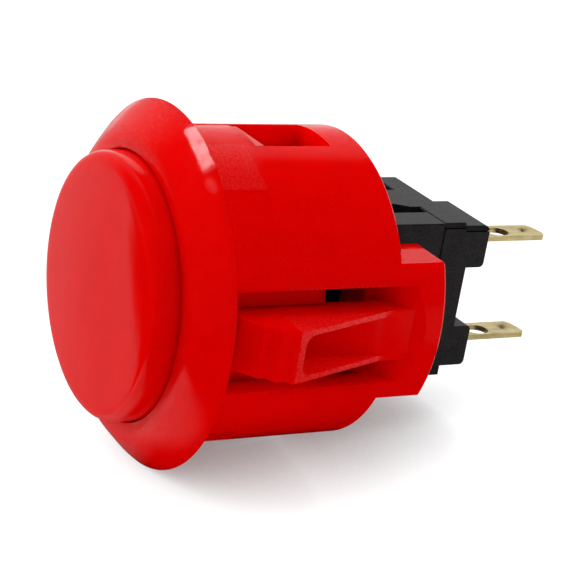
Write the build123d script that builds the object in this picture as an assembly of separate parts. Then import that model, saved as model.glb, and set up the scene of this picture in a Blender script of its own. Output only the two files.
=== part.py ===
from build123d import *
import math
import os

# Arcade push button, snap-in type. Millimetres, +Z out of the panel, origin on the panel seat.
# The snap tongues lie on X, the side windows on Y.

# Rim and barrel
rim_d = 32.6
rim_edge_z = 0.1
rim_edge_cut = 0.12
rim_crest_z = 2.97
rim_lip = 0.12
rim_dome = [(0, 1), (0.2, 0.97), (0.34, 0.885), (0.48, 0.74), (0.61, 0.575), (0.777, 0.35), (0.898, 0.18), (1, 0)]
barrel_d = 28.2
barrel_len = 17.4
barrel_edge = 0.3
floor_t = 1.64

# Plunger
plunger_d = 23.6
plunger_gap = 0.12
plunger_top_z = 5.85
plunger_dome = 0.5
plunger_round = 1.1
dome_runs = 4
round_runs = 5
skirt_t = 1.6
skirt_end_z = -10.8
cap_t = 2.0
rib_t = 1.2
rib_end_z = -4.0
rib_count = 4
travel = 2.6
slide_gap = 0.1

# Side windows and the plunger's hooks
window_w = 6.1
window_front_z = -6.6
window_rear_z = -14.0
insert_w = 5.7
insert_depth = 0.05
hook_gap = 0.35
hook_r = 13.68
hook_land = 0.82
hook_ramp = 2.6
leg_end_z = -13.0
leg_slit_w = 0.6
leg_slit_top_z = -3.0

# Shallow flats beside the rim
flat_angle = 50.0
flat_w = 2.5
flat_depth = 0.1
flat_len = 5.4

# Rear ears and their latch ridges
ear_len = 4.4
ear_w = 12.7
ear_inner_x = 8.05
ear_edge = 0.3
latch_drop = 3.5
latch_h = 1.4
latch_w = 7.0
latch_bite = 0.45
latch_gap = 0.1
latch_slope = 0.3

# Snap tongues
tongue_w = 4.64
tongue_inner_x = 10.9
tongue_plate_x = 13.45
tongue_tip_z = -1.75
plate_rise = 1.25
root_drop = 1.9
slot_w = 9.1
slot_front_z = -0.8
slot_drop = 3.3
slot_floor_x = 10.0
slot_floor_rise = 1.0
slot_ramp_x = 12.9
slot_ramp_drop = 0.6
catch_steps = [(15.4, -3.0), (15.45, -3.72), (16.3, -4.22), (16.4, -5.25)]
peak_x = 16.9
peak_z = -5.9
peak_land = 0.45
frame_t = 0.5
pocket_floor_x = 11.95
pocket_rise = 0.5
pocket_corner = 0.9
tongue_notch_gap = 0.15
tongue_notch_z = 1.2

# Switch case
case_x = 12.86
case_y = 15.05
case_wall = 1.4
case_edge = 0.12
neck_w = 11.6
neck_len = 4.5
neck_gap = 0.2
shoulder_gap = 0.1
cover_len = 7.95
cavity_w = 9.8
channel_gap = 0.2
channel_drop = 1.5
flange_t = 2.35
base_t = 3.1
boss_t = 5.0
boss_x = -0.45
boss_top_y = 7.2
plate_top_y = 6.95
boss_hi_y = 3.19
boss_lo_y = -2.66
boss_lo_end_y = -6.61
boss_round = 0.45
bevel_x = 0.3
bevel_y = 0.4
groove_h = 0.13
groove_depth = 0.3

# Latch tongue of the base, in a recess of the cover's top
clip_x0 = -2.8
clip_x1 = 1.8
clip_waist = 0.8
clip_t = 0.9
clip_len = 6.85
clip_flare_near = 1.0
clip_flare_far = 2.2
clip_side_gap = 1.53
clip_end_gap = 0.05
recess_depth = 1.3

# Actuator, return spring and contact bridge
stem_d = 4.8
stem_gap = 0.25
stem_out = 1.25
stem_edge = 0.3
post_d = 5.2
post_gap = 0.05
carriage_t = 2.6
carriage_y = 6.8
carriage_x0 = -3.4
carriage_x1 = 4.6
seat_depth = 0.9
spring_d = 4.0
wire_d = 0.45
wire_sides = 6
spring_turns = 5
coil_sides = 14
seat_gap = 0.35
guide_d = 2.6
guide_h = 3.0
bridge_t = 0.4
bridge_w = 1.55
bridge_over = 0.8
rivet_d = 1.2
rivet_h = 0.3
contact_gap = 0.05

# Terminals
blade_w = 2.8
blade_t = 0.5
blade_x = 3.15
blade_hi_y = 5.21
blade_lo_y = -4.79
blade_len = 13.03
tip_corners = [(0, 0.6), (0.2, 0.22), (0.55, 0.05), (0.86, 0), (1, 0.3)]
blade_hole_w = 2.0
blade_hole_len = 2.4
blade_hole_up = 4.88
blade_hole_off = 0.15
dimple_d = 1.4
dimple_depth = 0.32
dimple_up = 1.7
strip_w = 1.4
strip_foot = 2.4

# Overlap of joined shapes and overrun of cuts
lap = 0.5
past = 1.0

# Derived sizes
rim_r = rim_d / 2
barrel_r = barrel_d / 2
plunger_r = plunger_d / 2
bore_r = plunger_r + plunger_gap
floor_z = -barrel_len + floor_t
skirt_inner_r = plunger_r - skirt_t
cap_under_z = plunger_top_z - cap_t
ear_end_z = -barrel_len - ear_len
latch_z = -barrel_len - latch_drop
root_z = -barrel_len - root_drop
half_x = case_x / 2
half_y = case_y / 2
shoulder_z = -barrel_len - shoulder_gap
case_front_z = shoulder_z + neck_len
seam_z = shoulder_z - cover_len
flange_z = seam_z - flange_t
base_end_z = seam_z - base_t
boss_end_z = seam_z - boss_t
stem_top_z = case_front_z + stem_out
carriage_top_z = case_front_z - case_wall - slide_gap
carriage_end_z = carriage_top_z - carriage_t
bridge_end_z = carriage_end_z - bridge_t
contact_z = bridge_end_z - travel - contact_gap - 2 * rivet_h
strip_x1 = blade_x + blade_w / 2
strip_x0 = strip_x1 - strip_w
contact_x = (strip_x0 + strip_x1) / 2
contact_hi_y = blade_hi_y - strip_foot + rivet_d / 2 + blade_t / 2
contact_lo_y = blade_lo_y + strip_foot - rivet_d / 2 - blade_t / 2


def slab(x0, x1, y0, y1, z0, z1):
    centre = Pos((x0 + x1) / 2, (y0 + y1) / 2, (z0 + z1) / 2)
    return centre * Box(abs(x1 - x0), abs(y1 - y0), abs(z1 - z0))


def rod(r, z0, z1):
    return Pos(0, 0, (z0 + z1) / 2) * Cylinder(r, abs(z1 - z0))


def side_profile(points, width):
    face = make_face(Plane.XZ * Polyline(*points, close=True))
    return extrude(face, width / 2, both=True)


def turned(points):
    return revolve(make_face(Plane.XZ * Polyline(*points, close=True)), Axis.Z)


# Housing: rim, barrel and seat floor
dome_in_r = bore_r + rim_lip
rim_line = [(bore_r, -lap), (bore_r, rim_crest_z - rim_lip), (bore_r + rim_lip / 3, rim_crest_z - rim_lip / 3)]
for out, up in rim_dome:
    rim_line.append((dome_in_r + out * (rim_r - dome_in_r), rim_edge_z + up * (rim_crest_z - rim_edge_z)))
rim_line += [(rim_r - rim_edge_cut, 0), (barrel_r, 0), (barrel_r, -lap)]
rim = turned(rim_line)
barrel = rod(barrel_r, -barrel_len, -lap)
barrel = chamfer(barrel.edges().sort_by(Axis.Z)[0], barrel_edge)
housing = barrel - rod(bore_r, floor_z, past) + rim

# Housing: rear ears with their latch ridges
ear_ring = rod(barrel_r, ear_end_z, -barrel_len + lap)
ridge_x = half_x - latch_bite
for side in (1, -1):
    ear_block = slab(side * ear_inner_x, side * (barrel_r + past), -ear_w / 2, ear_w / 2, ear_end_z, floor_z)
    ear = ear_ring & ear_block
    ear = chamfer(ear.faces().sort_by(Axis.Z)[0].edges(), ear_edge)
    housing += ear
    ridge = side_profile(
        [
            (side * (ear_inner_x + lap), latch_z + latch_h / 2),
            (side * (ridge_x + latch_slope), latch_z + latch_h / 2),
            (side * ridge_x, latch_z + latch_h / 2 - latch_slope),
            (side * ear_inner_x, latch_z - latch_h / 2),
            (side * (ear_inner_x + lap), latch_z - latch_h / 2),
        ],
        latch_w,
    )
    housing += ridge

# Housing: switch opening, side windows and flats
opening = neck_w / 2 + neck_gap
housing -= slab(-opening, opening, -opening, opening, -barrel_len - past, floor_z + past)
insert_core = rod(barrel_r - insert_depth, window_front_z, 0)
for turn in (0, 180):
    y_out = barrel_r + past
    window = slab(-window_w / 2, window_w / 2, 0, y_out, window_rear_z, window_front_z)
    window += slab(-insert_w / 2, insert_w / 2, 0, y_out, window_front_z, 0) - insert_core
    housing -= Rot(0, 0, turn) * window
    for angle in (flat_angle, -flat_angle):
        flat = slab(barrel_r - flat_depth, y_out, -flat_w / 2, flat_w / 2, -flat_len, 0)
        housing -= Rot(0, 0, turn + angle) * flat

# Housing: snap tongues, each rooted at the sloped end of its slot, with a stepped catch and a hollow back
stairs = [(tongue_plate_x, tongue_tip_z)] + catch_steps
stairs += [
    (peak_x, peak_z + peak_land),
    (peak_x, peak_z),
    (tongue_plate_x, -barrel_len + plate_rise),
    (tongue_plate_x, root_z),
    (tongue_inner_x, root_z),
    (tongue_inner_x, tongue_tip_z),
]
gate_line = [
    (slot_floor_x, slot_front_z),
    (barrel_r + lap, slot_front_z),
    (barrel_r + lap, -barrel_len - slot_drop),
    (slot_ramp_x, -barrel_len - slot_ramp_drop),
    (slot_floor_x, -barrel_len + slot_floor_rise),
]
pocket_end_z = -barrel_len + pocket_rise
pocket_line = [
    (pocket_floor_x, peak_z - frame_t),
    (tongue_plate_x, pocket_end_z),
    (peak_x + past, pocket_end_z),
    (peak_x + past, peak_z - frame_t),
]
for turn in (0, 180):
    gate = side_profile(gate_line, slot_w)
    pocket = side_profile(pocket_line, tongue_w - 2 * frame_t)
    pocket = fillet(pocket.edges().filter_by(Axis.X).sort_by(Axis.Z)[-2:], pocket_corner)
    tongue = side_profile(stairs, tongue_w) - pocket
    housing -= Rot(0, 0, turn) * gate
    housing += Rot(0, 0, turn) * tongue

# Plunger: domed cap, skirt, centre post and ribs
face_r = plunger_r - plunger_round
face_z = plunger_top_z - plunger_dome
cap_line = [(0, cap_under_z)]
for i in range(dome_runs):
    share = i / dome_runs
    cap_line.append((face_r * share, plunger_top_z - plunger_dome * share**2))
for i in range(round_runs + 1):
    lean = math.radians(90 * i / round_runs)
    round_z = face_z - plunger_round
    cap_line.append((face_r + plunger_round * math.sin(lean), round_z + plunger_round * math.cos(lean)))
cap_line += [(plunger_r, skirt_end_z), (skirt_inner_r, skirt_end_z), (skirt_inner_r, cap_under_z)]
plunger = turned(cap_line)
plunger += rod(post_d / 2, stem_top_z + post_gap, cap_under_z + lap)
rib = slab(0, skirt_inner_r + lap, -rib_t / 2, rib_t / 2, rib_end_z, cap_under_z + lap)
for i in range(rib_count):
    plunger += Rot(0, 0, 360 * (i + 0.5) / rib_count) * rib

# Plunger: tongue notches, leg slits, legs and hooks
notch = tongue_w / 2 + tongue_notch_gap
leg = window_w / 2 - hook_gap
cut_in = skirt_inner_r - past
cut_out = plunger_r + past
hook_top_z = window_front_z - slide_gap
hook_line = [
    (plunger_r - lap, hook_top_z),
    (hook_r, hook_top_z),
    (hook_r, hook_top_z - hook_land),
    (plunger_r, hook_top_z - hook_land - hook_ramp),
    (plunger_r - lap, hook_top_z - hook_land - hook_ramp),
]
leg_ring = rod(plunger_r, leg_end_z, skirt_end_z + lap) - rod(skirt_inner_r, leg_end_z, skirt_end_z + lap)
plunger += leg_ring & slab(-leg, leg, -cut_out, cut_out, leg_end_z, skirt_end_z + lap)
for angle in (0, 180):
    turn = Rot(0, 0, angle)
    plunger -= turn * slab(cut_in, cut_out, -notch, notch, skirt_end_z - past, tongue_notch_z)
    for x0 in (leg, -leg - leg_slit_w):
        slit = slab(x0, x0 + leg_slit_w, cut_in, cut_out, skirt_end_z - past, leg_slit_top_z)
        plunger -= turn * slit
    hook = Rot(0, 0, 90) * side_profile(hook_line, 2 * leg)
    plunger += turn * hook

# Switch cover: neck and body with a hollow inside
neck = neck_w / 2
cavity = cavity_w / 2
cover = slab(-half_x, half_x, -half_y, half_y, seam_z, shoulder_z)
cover = chamfer(cover.edges().filter_by(Axis.Z) + cover.faces().sort_by(Axis.Z)[0].edges(), case_edge)
cover += slab(-neck, neck, -neck, neck, shoulder_z - lap, case_front_z)
cover -= slab(-cavity, cavity, -cavity, cavity, seam_z, case_front_z - case_wall)
cover -= rod(stem_d / 2 + stem_gap, case_front_z - case_wall - past, case_front_z + past)
clip_front_z = seam_z + clip_len
recess_x0 = clip_x0 - clip_side_gap
recess_x1 = clip_x1 + clip_side_gap
cover -= slab(recess_x0, recess_x1, half_y - recess_depth, half_y + past, seam_z, clip_front_z + clip_end_gap)
for blade_y in (blade_hi_y, blade_lo_y):
    cover -= slab(
        strip_x0 - channel_gap,
        strip_x1 + channel_gap,
        blade_y - blade_t / 2 - channel_gap,
        blade_y + blade_t / 2 + channel_gap,
        seam_z,
        shoulder_z - channel_drop,
    )
for side in (1, -1):
    groove_x = half_x - latch_bite - latch_gap
    latch_room = latch_w / 2 + latch_gap
    latch_reach = latch_h / 2 + latch_gap
    cover -= slab(
        side * groove_x,
        side * (half_x + past),
        -latch_room,
        latch_room,
        latch_z - latch_reach,
        latch_z + latch_reach,
    )

# Switch base: flange, rear plate, terminal bosses, latch tongue and spring guide
base = slab(-half_x, half_x, boss_lo_end_y, plate_top_y, base_end_z, flange_z)
base += slab(boss_x, half_x, boss_hi_y, boss_top_y, boss_end_z, flange_z)
base += slab(boss_x, half_x, boss_lo_end_y, boss_lo_y, boss_end_z, base_end_z)
base = fillet(base.edges().filter_by(Axis.X).group_by(Axis.Z)[0], boss_round)
flange = slab(-half_x, half_x, -half_y, half_y, flange_z, seam_z)
base += chamfer(flange.faces().sort_by(Axis.Z)[-1].edges(), case_edge)
for top_y, z0, z1 in ((half_y, flange_z, seam_z), (boss_top_y, boss_end_z - past, flange_z)):
    low_y = top_y - bevel_y
    corner = Polyline(
        (half_x, low_y),
        (half_x - bevel_x, top_y),
        (half_x - bevel_x, top_y + past),
        (half_x + past, top_y + past),
        (half_x + past, low_y - groove_h),
        (half_x - groove_depth, low_y - groove_h),
        (half_x - groove_depth, low_y),
        close=True,
    )
    base -= Pos(0, 0, z0) * extrude(make_face(corner), z1 - z0)
clip_line = Polyline(
    (clip_x0, seam_z - lap),
    (clip_x0, seam_z + clip_flare_near),
    (clip_x0 + clip_waist, seam_z + clip_flare_far),
    (clip_x0 + clip_waist, clip_front_z),
    (clip_x1 - clip_waist, clip_front_z),
    (clip_x1 - clip_waist, seam_z + clip_flare_far),
    (clip_x1, seam_z + clip_flare_near),
    (clip_x1, seam_z - lap),
    close=True,
)
clip = extrude(make_face(Plane.XZ * clip_line), clip_t / 2, both=True)
base += Pos(0, half_y - clip_t / 2, 0) * clip
base += rod(guide_d / 2, seam_z - lap, seam_z + guide_h)
for blade_y in (blade_hi_y, blade_lo_y):
    base -= slab(
        blade_x - blade_w / 2,
        blade_x + blade_w / 2,
        blade_y - blade_t / 2,
        blade_y + blade_t / 2,
        boss_end_z - past,
        seam_z + past,
    )

# Terminals: blade outside, narrow strip with a bent foot inside
terminals = []
blade_x0 = blade_x - blade_w / 2
blade_tip_z = seam_z - blade_len
for blade_y, turn_in in ((blade_hi_y, -1), (blade_lo_y, 1)):
    y0 = blade_y - blade_t / 2
    y1 = blade_y + blade_t / 2
    outline = [(blade_x0, seam_z)]
    for across, up in tip_corners:
        outline.append((blade_x0 + across * blade_w, blade_tip_z + up))
    outline.append((strip_x1, seam_z))
    blade = Pos(0, blade_y, 0) * side_profile(outline, blade_t)
    hole = extrude(Plane.XZ * Rot(0, 0, 90) * SlotOverall(blade_hole_len, blade_hole_w), blade_t, both=True)
    blade -= Pos(blade_x + blade_hole_off, blade_y, blade_tip_z + blade_hole_up) * hole
    dimple = Rot(90, 0, 0) * Cone(dimple_d / 2, 0, dimple_depth)
    blade -= Pos(blade_x, y1 - dimple_depth / 2, blade_tip_z + dimple_up) * dimple
    blade += slab(strip_x0, strip_x1, y0, y1, seam_z - lap, contact_z)
    foot_y = blade_y + turn_in * (strip_foot - blade_t / 2)
    blade += slab(strip_x0, strip_x1, blade_y - turn_in * blade_t / 2, foot_y, contact_z - blade_t, contact_z)
    terminals.append(blade)

# Actuator: stem, carriage and spring seat
actuator = rod(stem_d / 2, carriage_top_z - lap, stem_top_z)
actuator = chamfer(actuator.faces().sort_by(Axis.Z)[-1].edges(), stem_edge)
actuator += slab(carriage_x0, carriage_x1, -carriage_y / 2, carriage_y / 2, carriage_end_z, carriage_top_z)
seat_r = spring_d / 2 + wire_d / 2 + seat_gap
seat_z = carriage_end_z + seat_depth
actuator -= rod(seat_r, carriage_end_z - past, seat_z)

# Contact bridge under the carriage, and the contact rivets that meet at full travel
bridge_y0 = contact_lo_y - bridge_over
bridge_y1 = contact_hi_y + bridge_over
bridge = slab(carriage_x1 - bridge_w, carriage_x1, bridge_y0, bridge_y1, bridge_end_z, carriage_end_z)
rivets = {}
for name, rivet_y in (("common", contact_hi_y), ("open", contact_lo_y)):
    place = Pos(contact_x, rivet_y, 0)
    rivets["moving_contact_" + name] = place * rod(rivet_d / 2, bridge_end_z - rivet_h, bridge_end_z)
    rivets["fixed_contact_" + name] = place * rod(rivet_d / 2, contact_z, contact_z + rivet_h)

# Return spring between the base and the carriage
spring_h = seat_z - seam_z - wire_d
steps = spring_turns * coil_sides
climb = spring_h / steps
stride = 2 * math.pi * spring_d / 2 / coil_sides
rings = []
for i in range(steps + 1):
    at = 2 * math.pi * i / coil_sides
    spot = (spring_d / 2 * math.cos(at), spring_d / 2 * math.sin(at), seam_z + wire_d / 2 + climb * i)
    along = (-stride * math.sin(at), stride * math.cos(at), climb)
    cross = Plane(origin=spot, x_dir=(math.cos(at), math.sin(at), 0), z_dir=along)
    rings.append(cross * RegularPolygon(wire_d / 2, wire_sides))
spring = loft(rings, ruled=True)

os.makedirs("parts", exist_ok=True)
export_step(housing, "parts/button_housing.step")
export_step(plunger, "parts/button_plunger.step")
export_step(cover, "parts/switch_cover.step")
export_step(base, "parts/switch_base.step")
export_step(terminals[0], "parts/terminal_common.step")
export_step(terminals[1], "parts/terminal_open.step")
export_step(actuator, "parts/switch_actuator.step")
export_step(bridge, "parts/contact_bridge.step")
export_step(spring, "parts/return_spring.step")
for name, rivet in rivets.items():
    export_step(rivet, "parts/" + name + ".step")
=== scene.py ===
import bpy
import math
from mathutils import Matrix, Vector


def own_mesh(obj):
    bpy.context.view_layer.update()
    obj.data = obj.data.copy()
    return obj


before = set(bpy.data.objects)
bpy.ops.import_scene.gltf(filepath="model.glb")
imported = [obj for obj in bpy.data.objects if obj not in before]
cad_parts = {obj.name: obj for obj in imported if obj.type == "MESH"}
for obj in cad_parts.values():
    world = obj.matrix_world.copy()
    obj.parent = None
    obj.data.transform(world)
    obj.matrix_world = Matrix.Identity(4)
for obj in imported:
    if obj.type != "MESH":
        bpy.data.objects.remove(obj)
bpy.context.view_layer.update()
MM = 0.001
MICRON = 0.000001
WHITE = (1.0, 1.0, 1.0)

# Below, a ramp is (from, to, value at from, value at to), and a colour is linear.

# Camera: place, viewing direction, up direction and focal length of the photograph's view
CAMERA_AT = Vector((141.242, 59.585, 72.987)) * MM
CAMERA_FORWARD = Vector((-0.8, -0.342504, -0.492637))
CAMERA_UP = Vector((-0.375307, 0.926258, -0.034511))
CAMERA_LENS = 120.63
SENSOR_WIDTH = 36.0
CLIP_START = 0.005
CLIP_END = 5.0

# Floor: the button lies on its rim and on the barrel's rear edge, with a side window down
RIM_EDGE = Vector((0, -16.3, 0.1)) * MM
BARREL_EDGE = Vector((0, -14.1, -17.1)) * MM
FLOOR_R = 0.3
FLOOR_SIDES = 64
FLOOR_CLEAR = (FLOOR_R * 0.4, FLOOR_R * 0.95, 0, 1)
FLOOR_ROUGH = 0.9

# Floor to soft light, and to the camera: a dim white with a glow that fades near the button
# as a painted shadow, pink there as painted bounce light
FLOOR_SOFT = 0.96
FLOOR_SEEN = 0.2
SHADOW_LEAN = (-0.25, 0.0, 1.15)
SHADOW_REACH = 13 * MM
SHADOW_SAMPLES = 16
SHADOW_GLOW = (0.0, 0.78, 0.0, 1.0)
SHADOW_TINT = (0.05, 0.55, 0, 1)
SHADOW_PINK = (1.0, 0.78, 0.79)

# Floor to gloss, a painted reflection: painted light behind the button up to an edge along
# FRONT_WAY, painted shade on the right beside it and in a disc under it, and painted light
# again in an oval patch before the rim
FRONT_WAY = (0.518, 0.0, 0.856)
BEHIND_LEVEL = (-130 * MM, -10 * MM, 0.6, 0.42)
BEHIND_RISE = (3 * MM, 14 * MM, 1.0, 1.5)
BEHIND_EDGE = (12.2 * MM, 15.2 * MM, 1, 0)
RIGHT_START = (8 * MM, 16 * MM, 0, 1)
RIGHT_LEVEL = (-39 * MM, -32 * MM, 2.3, 0)
SHADE_DISC_AT = (0.014, -0.0155, -0.008)
SHADE_DISC_EDGE = (12.5 * MM, 16.5 * MM, 0, 1)
PATCH_AT = (0.006, 0.0, 0.01116)
PATCH_STRETCH = (1.0, 0.0, 0.62)
PATCH_LEVEL = (7.5 * MM, 13.5 * MM, 0.82, 0)
PATCH_START = (2 * MM, 6.5 * MM, 0, 1)

# World to gloss: a sharp limit across SIDE_WAY for rays going back, a soft one across
# AHEAD_WAY for rays going forward
ROOM_SPLIT = (-0.25, -0.05, 0, 1)
SIDE_WAY = (0.62, 0.62, 0.48)
SIDE_LEVEL = (-0.15, 0.02, 1.0, 0.02)
AHEAD_WAY = (0.45, 0.25, 0.86)
AHEAD_LEVEL = (-0.1, 0.42, 0.5, 0.03)

# World to soft light, along X
SKY_LEVEL = (-0.3, 0.7, 0.42, 0.21)

# Red of the housing and plunger, and how deep light enters it
RED_DARK = (0.88, 0.0004, 0.0004)
RED_LIGHT = (0.98, 0.0008, 0.0006)
# The cap's red is a darker copy of the housing's red: painted shade on the cap
CAP_SHADED_DARK = (0.82, 0.0004, 0.0004)
CAP_SHADED_LIGHT = (0.88, 0.0008, 0.0006)
RED_CLOUD = 260
RED_RADIUS = (1.0, 0.08, 0.06)
RED_DEPTH = 1.5 * MM
PANEL_PLANE = (-0.4 * MM, 0.0)
# Along Z, where the plunger turns from the skirt's painted light to the cap's red
SKIRT_TOP = (-1.0 * MM, -0.4 * MM, 0, 1)

# Frames of the tongues' wedges: along X to both sides, and along Z
WEDGE_SIDE = (12.9 * MM, 13.7 * MM, 0, 1)
WEDGE_FRONT = (-5.8 * MM, -5.6 * MM, 1, 0)
WEDGE_REAR = (-16.6 * MM, -15.4 * MM, 0, 1)
WEDGE_ROUGH = 0.45
WEDGE_GAIN = 11

# Rough bands of the barrel: by the angle from the X axis, and along Z
BAND_START = (math.radians(54.9), math.radians(55.4), 0, 1)
BAND_END = (math.radians(78.1), math.radians(78.6), 1, 0)
BAND_REAR = (-6.5 * MM, -4.5 * MM, 0.12, 1)
BAND_FRONT = (-0.2 * MM, 0.0, 1, 0)
BAND_ROUGH = 0.4
BAND_GAIN = 4
BAND_STEP = 8 * MICRON

# Noise: the part of its range that is used, and for colour the ramps of mottle and stain
NOISE_RANGE = (0.3, 0.7)
MOTTLE = (0.75, 1.25, 0, 1)
STAIN = (0.35, 0.7, 0, 1)
STAIN_SCALE = 900

# Smoothing of the model's faces
WELD = 2 * MICRON
SHARP_CORNER = math.radians(30)

# Lamps: wide soft ones, and near boxes that only gloss sees
LAMP_AWAY = 1.0
LAMP_SIZE = (0.9, 0.9)
BOX_AWAY = 0.5


def look_matrix(at, forward, up):
    back = -forward.normalized()
    right = up.cross(back).normalized()
    turn = Matrix((right, back.cross(right), back)).transposed().to_4x4()
    return Matrix.Translation(at) @ turn


def add_camera():
    data = bpy.data.cameras.new("camera")
    data.lens = CAMERA_LENS
    data.sensor_width = SENSOR_WIDTH
    data.clip_start = CLIP_START
    data.clip_end = CLIP_END
    camera = bpy.data.objects.new("camera", data)
    bpy.context.scene.collection.objects.link(camera)
    camera.matrix_world = look_matrix(CAMERA_AT, CAMERA_FORWARD, CAMERA_UP)
    bpy.context.scene.camera = camera


def is_socket(value):
    return isinstance(value, bpy.types.NodeSocket)


class Tree:
    """A node tree with short calls for its nodes, which take sockets or constants."""

    def __init__(self, tree):
        self.tree = tree

    def add(self, kind, **settings):
        node = self.tree.nodes.new(kind)
        for key, value in settings.items():
            setattr(node, key, value)
        return node

    def feed(self, into, value):
        if is_socket(value):
            self.tree.links.new(value, into)
        else:
            into.default_value = value

    def math(self, operation, *values):
        node = self.add("ShaderNodeMath", operation=operation)
        for into, value in zip(node.inputs, values):
            self.feed(into, value)
        return node.outputs[0]

    def product(self, first, *others):
        for value in others:
            first = self.math("MULTIPLY", first, value)
        return first

    def vector_math(self, operation, *vectors):
        node = self.add("ShaderNodeVectorMath", operation=operation)
        for into, vector in zip(node.inputs, vectors):
            self.feed(into, vector)
        return node.outputs

    def axes(self, vector):
        node = self.add("ShaderNodeSeparateXYZ")
        self.feed(node.inputs[0], vector)
        return node.outputs

    def noise(self, vector, scale, detail, rough):
        node = self.add("ShaderNodeTexNoise")
        node.inputs["Scale"].default_value = scale
        node.inputs["Detail"].default_value = detail
        node.inputs["Roughness"].default_value = rough
        node.inputs["Distortion"].default_value = 0.0
        self.feed(node.inputs["Vector"], vector)
        return node.outputs["Fac"]

    def spread(self, value, low, high, to_low, to_high, smooth=True):
        kind = "SMOOTHSTEP" if smooth else "LINEAR"
        node = self.add("ShaderNodeMapRange", interpolation_type=kind)
        node.inputs["From Min"].default_value = low
        node.inputs["From Max"].default_value = high
        node.inputs["To Min"].default_value = to_low
        node.inputs["To Max"].default_value = to_high
        self.feed(node.inputs["Value"], value)
        return node.outputs["Result"]

    def blend(self, factor, a, b, kind="FLOAT"):
        node = self.add("ShaderNodeMix", data_type=kind)
        self.feed(node.inputs["Factor"], factor)
        self.feed(node.inputs["A"], a)
        self.feed(node.inputs["B"], b)
        return node.outputs["Result"]

    def mix(self, factor, *colours):
        a, b = (c if is_socket(c) else (*c, 1) for c in colours)
        return self.blend(factor, a, b, "RGBA")

    def bump(self, height, distance, under=None):
        node = self.add("ShaderNodeBump")
        node.inputs["Strength"].default_value = 1.0
        node.inputs["Distance"].default_value = distance
        self.feed(node.inputs["Height"], height)
        if under is not None:
            self.feed(node.inputs["Normal"], under)
        return node.outputs["Normal"]


def new_material(name):
    mat = bpy.data.materials.new(name)
    mat.use_nodes = True
    tree = Tree(mat.node_tree)
    shader = mat.node_tree.nodes["Principled BSDF"]
    place = tree.add("ShaderNodeTexCoord").outputs["Object"]
    return mat, tree, shader, place


def source(shader, name):
    """The socket that feeds one of the shader's inputs now."""
    return shader.inputs[name].links[0].from_socket


def plastic(name, dark, light, rough, specular, grain, grain_height, cloud):
    """Moulded plastic with a fine eroded grain, cloudy colour and uneven gloss."""
    mat, tree, shader, place = new_material(name)
    fine = tree.noise(place, grain, 3.0, 0.6)
    broad = tree.noise(place, cloud, 4.0, 0.55)
    mottle = tree.spread(tree.math("ADD", fine, broad), *MOTTLE)
    tree.feed(shader.inputs["Base Color"], tree.mix(mottle, dark, light))
    tree.feed(shader.inputs["Roughness"], tree.spread(fine, *NOISE_RANGE, *rough))
    tree.feed(shader.inputs["Specular IOR Level"], tree.spread(fine, *NOISE_RANGE, *specular))
    tree.feed(shader.inputs["Normal"], tree.bump(fine, grain_height))
    return mat, tree, shader, place


def red_plastic(name, dark, light, rough, specular, barrel_specular, grain, grain_height):
    """Red plastic that light enters, with another gloss behind the panel than before it."""
    mat, tree, shader, place = plastic(
        name, dark, light, rough, specular, grain, grain_height, RED_CLOUD
    )
    shader.inputs["Subsurface Weight"].default_value = 1.0
    shader.inputs["Subsurface Radius"].default_value = RED_RADIUS
    shader.inputs["Subsurface Scale"].default_value = RED_DEPTH
    front = tree.spread(tree.axes(place)["Z"], *PANEL_PLANE, barrel_specular, 1)
    gloss = tree.product(source(shader, "Specular IOR Level"), front)
    tree.feed(shader.inputs["Specular IOR Level"], gloss)
    return mat, tree, shader, place


def painted_light_skirt(tree, shader, place):
    """The plunger's skirt and legs, inside the barrel, in the housing's lighter red instead
    of the cap's red: painted light.
    """
    depth = tree.spread(tree.axes(place)["Z"], *SKIRT_TOP)
    colour = tree.mix(depth, RED_LIGHT, source(shader, "Base Color"))
    tree.feed(shader.inputs["Base Color"], colour)


def roughen(tree, shader, where, rough, gain):
    """A rougher finish that catches light from more sides, where the mask is 1."""
    blended = tree.blend(where, source(shader, "Roughness"), rough)
    tree.feed(shader.inputs["Roughness"], blended)
    gained = tree.product(
        source(shader, "Specular IOR Level"), tree.spread(where, 0, 1, 1, gain)
    )
    tree.feed(shader.inputs["Specular IOR Level"], gained)


def rough_wedges(tree, shader, place):
    """The frames of the snap tongues' hollow wedges, rougher than the barrel."""
    axes = tree.axes(place)
    frame_part = tree.product(
        tree.spread(tree.math("ABSOLUTE", axes["X"]), *WEDGE_SIDE),
        tree.spread(axes["Z"], *WEDGE_FRONT),
        tree.spread(axes["Z"], *WEDGE_REAR),
    )
    roughen(tree, shader, frame_part, WEDGE_ROUGH, WEDGE_GAIN)


def grain_bands(tree, shader, place):
    """Rougher bands of the barrel beside the windows, each between two faint mould lines."""
    axes = tree.axes(place)
    across = tree.math("ABSOLUTE", axes["Y"])
    side = tree.math("ABSOLUTE", axes["X"])
    angle = tree.math("ARCTAN2", across, side)
    band = tree.product(
        tree.spread(angle, *BAND_START),
        tree.spread(angle, *BAND_END),
        tree.spread(axes["Z"], *BAND_REAR),
        tree.spread(axes["Z"], *BAND_FRONT),
    )
    roughen(tree, shader, band, BAND_ROUGH, BAND_GAIN)
    step = tree.bump(band, BAND_STEP, source(shader, "Normal"))
    tree.feed(shader.inputs["Normal"], step)


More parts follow.
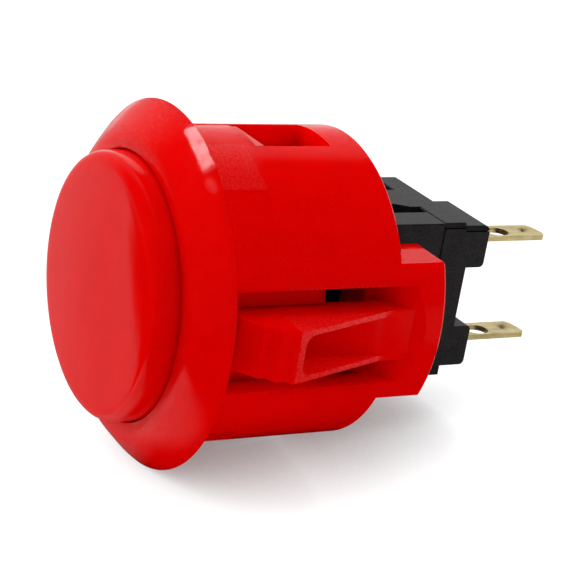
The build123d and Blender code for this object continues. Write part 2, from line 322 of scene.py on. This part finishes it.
def metal(name, dark, light, rough, stretch, height):
    """Rolled or drawn metal with streaks along one direction and faint stains."""
    mat, tree, shader, place = new_material(name)
    mapping = tree.add("ShaderNodeMapping")
    mapping.inputs["Scale"].default_value = stretch
    tree.feed(mapping.inputs["Vector"], place)
    streak = tree.noise(mapping.outputs["Vector"], 1.0, 4.0, 0.6)
    stain = tree.spread(tree.noise(place, STAIN_SCALE, 4.0, 0.6), *STAIN)
    tree.feed(shader.inputs["Base Color"], tree.mix(stain, light, dark))
    tree.feed(shader.inputs["Roughness"], tree.spread(streak, *NOISE_RANGE, *rough))
    tree.feed(shader.inputs["Normal"], tree.bump(streak, height))
    shader.inputs["Metallic"].default_value = 1.0
    return mat


def smoothing_group():
    """Geometry nodes that join the model's faces and keep only strong corners sharp."""
    group = bpy.data.node_groups.new("smooth_corners", "GeometryNodeTree")
    for way in ("INPUT", "OUTPUT"):
        group.interface.new_socket("Geometry", in_out=way, socket_type="NodeSocketGeometry")
    tree = Tree(group)
    plain = tree.add("GeometryNodeRemoveAttribute")
    plain.inputs["Name"].default_value = "custom_normal"
    weld = tree.add("GeometryNodeMergeByDistance")
    weld.inputs["Distance"].default_value = WELD
    faces = tree.add("GeometryNodeSetShadeSmooth", domain="FACE")
    edges = tree.add("GeometryNodeSetShadeSmooth", domain="EDGE")
    edges.inputs["Shade Smooth"].default_value = False
    angle = tree.add("GeometryNodeInputMeshEdgeAngle")
    sharp = tree.add("FunctionNodeCompare", data_type="FLOAT", operation="GREATER_THAN")
    tree.feed(sharp.inputs["A"], angle.outputs["Unsigned Angle"])
    tree.feed(sharp.inputs["B"], SHARP_CORNER)
    tree.feed(edges.inputs["Selection"], sharp.outputs[0])
    flow = tree.add("NodeGroupInput").outputs[0]
    for node in (plain, weld, faces, edges):
        tree.feed(node.inputs["Geometry"], flow)
        flow = node.outputs[0]
    tree.feed(tree.add("NodeGroupOutput").inputs[0], flow)
    return group


def dress(node, mat, group):
    """Material and smooth shading for one CAD node."""
    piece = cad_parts[node]
    piece.data.materials.clear()
    piece.data.materials.append(mat)
    piece.modifiers.new("smooth_corners", "NODES").node_group = group


def painted_floor_reflection(tree, point):
    """Painted reflection: the floor's level in reflections by the point on it, with painted
    light and painted shade.
    """
    axes = tree.axes(point)
    front = tree.vector_math("DOT_PRODUCT", point, FRONT_WAY)["Value"]
    below = tree.vector_math("DISTANCE", point, SHADE_DISC_AT)["Value"]
    squeezed = tree.vector_math("MULTIPLY", point, PATCH_STRETCH)["Vector"]
    near = tree.vector_math("DISTANCE", squeezed, PATCH_AT)["Value"]
    right = tree.blend(
        tree.spread(axes["X"], *RIGHT_START), 1.0, tree.spread(axes["Z"], *RIGHT_LEVEL)
    )
    behind = tree.product(
        tree.spread(axes["X"], *BEHIND_LEVEL, smooth=False),
        tree.spread(front, *BEHIND_RISE),
        right,
        tree.spread(front, *BEHIND_EDGE),
        tree.spread(below, *SHADE_DISC_EDGE),
    )
    patch = tree.product(
        tree.spread(near, *PATCH_LEVEL), tree.spread(axes["Z"], *PATCH_START)
    )
    return tree.math("MAXIMUM", behind, patch)


def floor_material():
    mat, tree, shader, place = new_material("floor_white")
    surface = tree.add("ShaderNodeNewGeometry").outputs
    path = tree.add("ShaderNodeLightPath").outputs
    gloss = painted_floor_reflection(tree, surface["Position"])
    unseen = tree.blend(path["Is Glossy Ray"], FLOOR_SOFT, gloss)
    level = tree.blend(path["Is Camera Ray"], unseen, FLOOR_SEEN)
    tree.feed(shader.inputs["Base Color"], level)
    shader.inputs["Roughness"].default_value = FLOOR_ROUGH
    shader.inputs["Specular IOR Level"].default_value = 0.0

    # Painted shadow for the camera: the glow dims and turns pink where the button is near
    nearby = tree.add("ShaderNodeAmbientOcclusion", samples=SHADOW_SAMPLES)
    nearby.inputs["Distance"].default_value = SHADOW_REACH
    leaned = tree.vector_math("ADD", surface["Normal"], SHADOW_LEAN)["Vector"]
    tree.feed(nearby.inputs["Normal"], leaned)
    room = nearby.outputs["AO"]
    tint = tree.mix(tree.spread(room, *SHADOW_TINT), SHADOW_PINK, WHITE)
    tree.feed(shader.inputs["Emission Color"], tint)
    glow = tree.spread(room, *SHADOW_GLOW, smooth=False)
    tree.feed(shader.inputs["Emission Strength"], tree.product(path["Is Camera Ray"], glow))

    far = tree.vector_math("LENGTH", place)["Value"]
    clear = tree.math("MAXIMUM", tree.spread(far, *FLOOR_CLEAR), surface["Backfacing"])
    glass = tree.add("ShaderNodeBsdfTransparent")
    both = tree.add("ShaderNodeMixShader")
    tree.feed(both.inputs["Fac"], clear)
    tree.feed(both.inputs[1], shader.outputs[0])
    tree.feed(both.inputs[2], glass.outputs[0])
    tree.feed(mat.node_tree.nodes["Material Output"].inputs["Surface"], both.outputs[0])
    return mat


def add_floor():
    """Round white floor that takes the lamps' shadow and a painted shadow, clear at its edge
    and from below.
    """
    along = BARREL_EDGE - RIM_EDGE
    normal = Vector((0, -along.z, along.y)).normalized()
    turns = [2 * math.pi * i / FLOOR_SIDES for i in range(FLOOR_SIDES)]
    ring = [(FLOOR_R * math.cos(t), FLOOR_R * math.sin(t), 0) for t in turns]
    mesh = bpy.data.meshes.new("floor")
    mesh.from_pydata(ring, [], [list(range(FLOOR_SIDES))])
    mesh.materials.append(floor_material())
    floor = bpy.data.objects.new("floor", mesh)
    bpy.context.scene.collection.objects.link(floor)
    middle = (RIM_EDGE + BARREL_EDGE) / 2
    floor.matrix_world = look_matrix(middle, -normal, Vector((0, 0, 1)))


def add_lamp(name, toward, distance, size, watts, across, glossy=True, diffuse=True):
    data = bpy.data.lights.new(name, "AREA")
    data.shape = "RECTANGLE"
    data.size, data.size_y = size
    data.energy = watts
    lamp = bpy.data.objects.new(name, data)
    bpy.context.scene.collection.objects.link(lamp)
    out = Vector(toward).normalized()
    lamp.matrix_world = look_matrix(out * distance, -out, out.cross(Vector(across)))
    lamp.visible_glossy = glossy
    lamp.visible_diffuse = diffuse
    lamp.visible_camera = False
    return lamp


def add_world():
    """White to the camera, plain for soft light, and for gloss lit behind and dark before."""
    world = bpy.data.worlds.new("world")
    bpy.context.scene.world = world
    world.use_nodes = True
    tree = Tree(world.node_tree)
    way = tree.add("ShaderNodeTexCoord").outputs["Generated"]
    path = tree.add("ShaderNodeLightPath").outputs
    axes = tree.axes(way)
    side = tree.vector_math("DOT_PRODUCT", way, SIDE_WAY)["Value"]
    ahead = tree.vector_math("DOT_PRODUCT", way, AHEAD_WAY)["Value"]
    room = tree.blend(
        tree.spread(axes["Z"], *ROOM_SPLIT),
        tree.spread(side, *SIDE_LEVEL),
        tree.spread(ahead, *AHEAD_LEVEL),
    )
    unseen = tree.blend(path["Is Glossy Ray"], tree.spread(axes["X"], *SKY_LEVEL), room)
    seen = tree.math("MAXIMUM", path["Is Camera Ray"], path["Is Transmission Ray"])
    back = world.node_tree.nodes["Background"]
    back.inputs["Color"].default_value = (*WHITE, 1)
    tree.feed(back.inputs["Strength"], tree.blend(seen, unseen, 1.0))


red, *parts = red_plastic(
    "housing_red", RED_DARK, RED_LIGHT, rough=(0.04, 0.08), specular=(0.03, 0.45),
    barrel_specular=0.22, grain=4600, grain_height=3.5 * MICRON,
)
grain_bands(*parts)
rough_wedges(*parts)
# Plunger red: painted shade on the cap, painted light on the skirt and legs
cap, *parts = red_plastic(
    "plunger_red", CAP_SHADED_DARK, CAP_SHADED_LIGHT, rough=(0.06, 0.1), specular=(0.08, 0.24),
    barrel_specular=1.0, grain=5500, grain_height=1 * MICRON,
)
painted_light_skirt(*parts)
black = plastic(
    "switch_black", (0.011, 0.01, 0.012), (0.019, 0.018, 0.02), rough=(0.34, 0.5),
    specular=(0.1, 0.2), grain=5000, grain_height=10 * MICRON, cloud=900,
)[0]
stem = plastic(
    "actuator_black", (0.01, 0.01, 0.011), (0.016, 0.016, 0.018), rough=(0.3, 0.4),
    specular=(0.1, 0.2), grain=6000, grain_height=4 * MICRON, cloud=500,
)[0]
gold = metal(
    "terminal_gold", (0.6, 0.48, 0.215), (0.73, 0.6, 0.3), rough=(0.3, 0.5),
    stretch=(5000, 2500, 400), height=2 * MICRON,
)
brass = metal(
    "bridge_brass", (0.6, 0.4, 0.16), (0.7, 0.5, 0.24), rough=(0.25, 0.4),
    stretch=(4000, 400, 4000), height=3 * MICRON,
)
silver = metal(
    "contact_silver", (0.62, 0.6, 0.57), (0.8, 0.79, 0.77), rough=(0.2, 0.4),
    stretch=(2500, 2500, 2500), height=3 * MICRON,
)
steel = metal(
    "spring_wire", (0.42, 0.42, 0.43), (0.6, 0.6, 0.62), rough=(0.18, 0.35),
    stretch=(1500, 1500, 6000), height=3 * MICRON,
)
materials = {
    "button_housing": red,
    "button_plunger": cap,
    "switch_cover": black,
    "switch_base": black,
    "switch_actuator": stem,
    "contact_bridge": brass,
    "return_spring": steel,
    "terminal_common": gold,
    "terminal_open": gold,
}
corners = smoothing_group()
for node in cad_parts:
    dress(node, materials.get(node, silver), corners)

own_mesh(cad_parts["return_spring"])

add_camera()
add_floor()
add_world()
for name, toward, watts, across in (
    ("top", (0.0, 1.0, 0.05), 4.1, (1.0, 0.0, 0.0)),
    ("left", (-0.6, 0.4, 0.7), 4.75, (0.4, 0.9, 0.0)),
    ("fill", (0.75, 0.66, 0.05), 1.65, (0.4, -0.9, 0.0)),
):
    add_lamp(name, toward, LAMP_AWAY, LAMP_SIZE, watts, across, glossy=False)

# The boxes light every piece but the plunger
reached = bpy.data.collections.new("softbox_reaches")
for node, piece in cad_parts.items():
    if node != "button_plunger":
        reached.objects.link(piece)
for name, toward, size, watts, across in (
    ("softbox", (-0.417, 0.738, 0.53), (0.245, 0.0875), 0.86, (0.843, 0.099, 0.53)),
    ("low_softbox", (-0.07, 0.69, 0.72), (0.075, 0.05), 0.015, (0.843, 0.099, 0.0)),
):
    box = add_lamp(name, toward, BOX_AWAY, size, watts, across, diffuse=False)
    box.light_linking.receiver_collection = reached
bpy.context.scene.view_settings.view_transform = "Standard"
